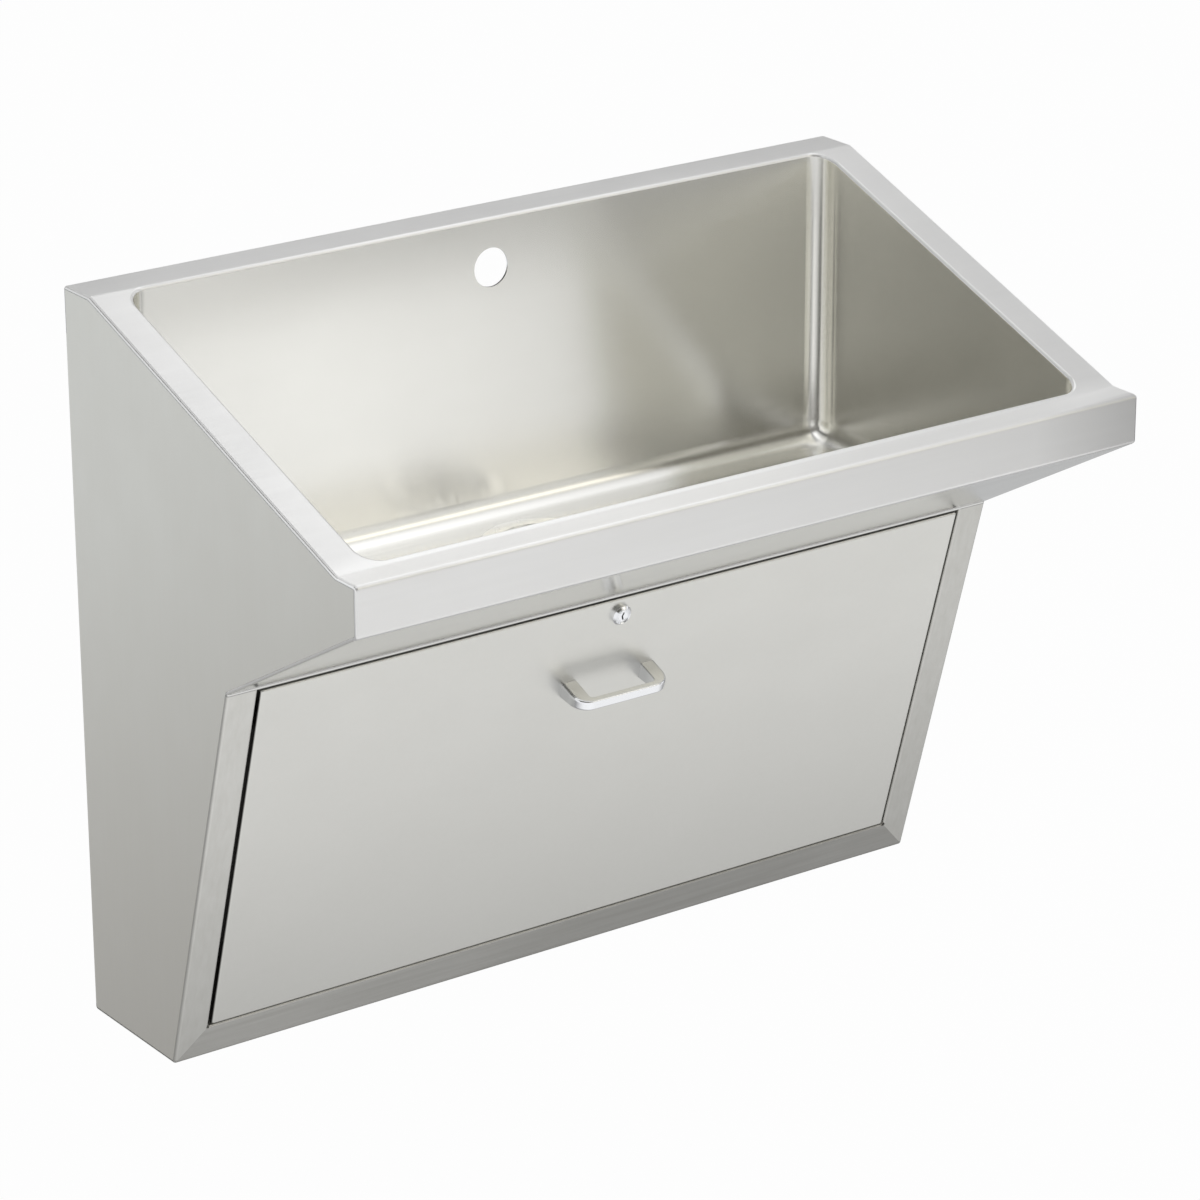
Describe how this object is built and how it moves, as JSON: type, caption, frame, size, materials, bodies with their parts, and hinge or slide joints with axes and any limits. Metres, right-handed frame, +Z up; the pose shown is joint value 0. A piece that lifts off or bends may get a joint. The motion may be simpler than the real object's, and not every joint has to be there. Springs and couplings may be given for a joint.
{
  "type": "scrub sink",
  "caption": "Wall-hung stainless scrub sink: deep coved bowl under a sloping rim, enclosed base, and a leaning access panel that tilts out behind a cam lock.",
  "frame": {"origin": "middle of the four hanger bolt holes, on the wall plane", "axes": "+X along the sink's length, +Y from the user into the wall, +Z up"},
  "size_m": [0.7874, 0.436, 0.654],
  "materials": {
    "sheet": "satin brushed stainless sheet",
    "panel_sheet": "fine satin stainless sheet",
    "bracket_steel": "plain mill-finish stainless",
    "fastener_steel": "turned stainless",
    "drain_steel": "spun and polished stainless",
    "chrome": "polished chrome",
    "plumbing_chrome": "polished chrome on tube",
    "rubber": "matt black rubber",
    "sound_pad": "matt damping sheet",
    "washer": "smooth fibre",
    "brass": "cast brass"
  },
  "bodies": {
    "cabinet": {"bottom_pan": "sheet", "bowl": "sheet", "coupling_nut": "plumbing_chrome", "door_bumpers": "rubber", "drain_body": "drain_steel", "drain_friction_washer": "washer", "drain_gasket": "rubber", "drain_grid": "drain_steel", "drain_grid_screw": "fastener_steel", "drain_locknut": "brass", "front_underside_panel": "sheet", "left_door_stop": "bracket_steel", "left_end_panel": "sheet", "left_front_post": "sheet", "left_sound_pad": "sound_pad", "left_wall_hanger": "bracket_steel", "right_door_stop": "bracket_steel", "right_end_panel": "sheet", "right_front_post": "sheet", "right_sound_pad": "sound_pad", "right_wall_hanger": "bracket_steel", "rim_deck": "sheet", "strike_bracket": "bracket_steel", "tailpiece": "plumbing_chrome", "tailpiece_washer": "rubber"},
    "access_panel": {"access_panel": "panel_sheet", "left_panel_stiffener": "bracket_steel", "right_panel_stiffener": "bracket_steel", "left_locating_tab": "bracket_steel", "right_locating_tab": "bracket_steel", "pull_handle": "chrome", "handle_screws": "fastener_steel", "lock_housing": "chrome", "lock_nut": "fastener_steel"},
    "lock": {"lock_plug": "chrome", "lock_cam": "fastener_steel", "cam_screw": "fastener_steel"}
  },
  "joints": [
    {"name": "panel_tilt", "type": "hinge", "parent": "cabinet", "child": "access_panel", "pos_m": [0, -0.14212, -0.55327], "axis": [1, 0, 0], "range_deg": [0, 40]},
    {"name": "lock_turn", "type": "hinge", "parent": "access_panel", "child": "lock", "pos_m": [-0.0024, -0.23528, -0.23249], "axis": [0, -0.9603, -0.2789], "range_deg": [0, 90]}
  ]
}
